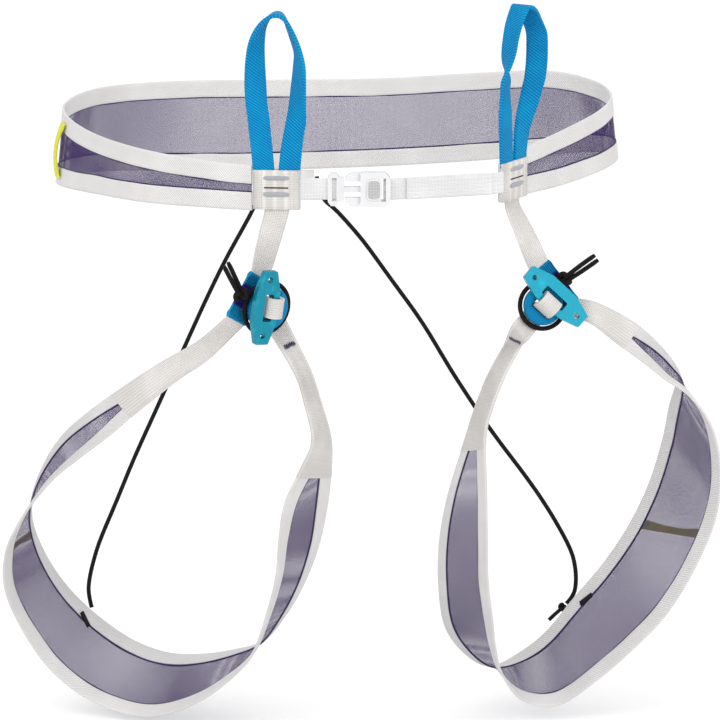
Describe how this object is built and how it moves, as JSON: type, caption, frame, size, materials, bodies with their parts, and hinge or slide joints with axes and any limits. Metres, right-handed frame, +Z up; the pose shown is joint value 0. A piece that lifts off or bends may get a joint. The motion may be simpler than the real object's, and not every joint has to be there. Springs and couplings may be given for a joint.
{
  "type": "climbing harness",
  "caption": "Ultralight climbing harness with see-through mesh waist belt and leg loops, white edge tapes, tall blue tie-in loops, toggle leg buckles and thin rear riser cords",
  "frame": {"origin": "centre of the waist ring, level with the belt's front upper edge", "axes": "+Z up, +Y towards the wearer's back, +X towards the wearer's left as worn"},
  "size_m": [0.3802, 0.2245, 0.403],
  "materials": {
    "mesh": "fine see-through woven mesh, matt",
    "tape": "white twill edge tape, matt",
    "white_webbing": "white woven webbing, matt",
    "blue_webbing": "azure woven webbing, slight sheen",
    "plate": "teal anodised, satin",
    "buckle": "white moulded plastic, semi-gloss",
    "elastic": "black braided elastic, matt",
    "black_cord": "black braided cord, matt",
    "yellow_webbing": "yellow woven webbing, matt",
    "grey_thread": "grey stitching, matt",
    "navy_thread": "navy stitching, matt"
  },
  "bodies": {
    "waist": {"buckle_plug": "buckle", "gear_keeper_left": "yellow_webbing", "riser_anchor": "black_cord", "riser_cord_left": "black_cord", "riser_cord_right": "black_cord", "tie_in_wrap_left": "white_webbing", "tie_in_wrap_right": "white_webbing", "waist_mesh": "mesh", "waist_strap_left": "white_webbing", "waist_strap_right": "white_webbing", "waist_strap_tail": "white_webbing", "waist_tape_bottom": "tape", "waist_tape_top": "tape", "wrap_tacks_left": "grey_thread", "wrap_tacks_right": "grey_thread"},
    "arm_upper": {"buckle_arm_upper": "buckle"},
    "arm_lower": {"buckle_arm_lower": "buckle"},
    "socket": {"buckle_socket": "buckle"},
    "tie_loop_left": {"tie_in_loop_left": "blue_webbing"},
    "tie_loop_right": {"tie_in_loop_right": "blue_webbing"},
    "leg_left": {"cord_slot_left": "black_cord", "elastic_knot_left": "elastic", "front_riser_left": "white_webbing", "leg_keeper_left": "yellow_webbing", "leg_mesh_left": "mesh", "leg_tape_front_left": "tape", "leg_tape_rear_left": "tape", "strand_inner_left": "white_webbing", "strand_outer_left": "white_webbing", "strand_tack_left": "navy_thread", "toggle_elastic_left": "elastic", "toggle_eye_left": "blue_webbing", "toggle_sleeve_left": "blue_webbing", "toggle_tab_left": "white_webbing"},
    "leg_right": {"cord_knot_right": "black_cord", "cord_slot_right": "black_cord", "elastic_knot_right": "elastic", "front_riser_right": "white_webbing", "leg_keeper_right": "yellow_webbing", "leg_mesh_right": "mesh", "leg_tape_front_right": "tape", "leg_tape_rear_right": "tape", "strand_inner_right": "white_webbing", "strand_outer_right": "white_webbing", "strand_tack_right": "navy_thread", "toggle_elastic_right": "elastic", "toggle_eye_right": "blue_webbing", "toggle_sleeve_right": "blue_webbing", "toggle_tab_right": "white_webbing"},
    "toggle_left": {"toggle_plate_left": "plate"},
    "toggle_right": {"toggle_plate_right": "plate"}
  },
  "joints": [
    {"name": "waist_buckle_release", "type": "slide", "parent": "waist", "child": "socket", "axis": [1, 0, 0], "range_m": [0, 0.016], "deforming": ["waist_strap_right", "waist_strap_tail"]},
    {"name": "buckle_arm_upper_squeeze", "type": "hinge", "parent": "waist", "child": "arm_upper", "pos_m": [0.00467, -0.1019, -0.0034], "axis": [0, 1, 0], "range_deg": [0, 6], "stiffness_Nm_per_rad": 0.1},
    {"name": "buckle_arm_lower_squeeze", "type": "hinge", "parent": "waist", "child": "arm_lower", "pos_m": [0.00467, -0.1019, -0.0138], "axis": [0, -1, 0], "range_deg": [0, 6], "stiffness_Nm_per_rad": 0.1},
    {"name": "tie_in_loop_left_fold", "type": "hinge", "parent": "waist", "child": "tie_loop_left", "pos_m": [-0.03, -0.1005, 0.0023], "axis": [0.9976, -0.0698, 0], "range_deg": [-75, 75], "stiffness_Nm_per_rad": 0.01},
    {"name": "tie_in_loop_right_fold", "type": "hinge", "parent": "waist", "child": "tie_loop_right", "pos_m": [0.089, -0.0755, 0.0023], "axis": [0.5446, 0.8387, 0], "range_deg": [-75, 75], "stiffness_Nm_per_rad": 0.01},
    {"name": "leg_loop_left_swing", "type": "hinge", "parent": "waist", "child": "leg_left", "pos_m": [-0.03, -0.1005, -0.0207], "axis": [1, 0, 0], "range_deg": [0, 30], "deforming": ["riser_cord_left"]},
    {"name": "leg_loop_right_swing", "type": "hinge", "parent": "waist", "child": "leg_right", "pos_m": [0.089, -0.0755, -0.0229], "axis": [1, 0, 0], "range_deg": [0, 30], "deforming": ["riser_cord_right"]},
    {"name": "toggle_plate_left_turn", "type": "hinge", "parent": "leg_left", "child": "toggle_left", "pos_m": [-0.0315, -0.1085, -0.0678], "axis": [0.143, 0, 0.9897], "range_deg": [0, 55], "stiffness_Nm_per_rad": 0.003},
    {"name": "toggle_plate_right_turn", "type": "hinge", "parent": "leg_right", "child": "toggle_right", "pos_m": [0.1064, -0.104, -0.0674], "axis": [0.7278, 0, -0.6858], "range_deg": [0, 55], "stiffness_Nm_per_rad": 0.003}
  ]
}
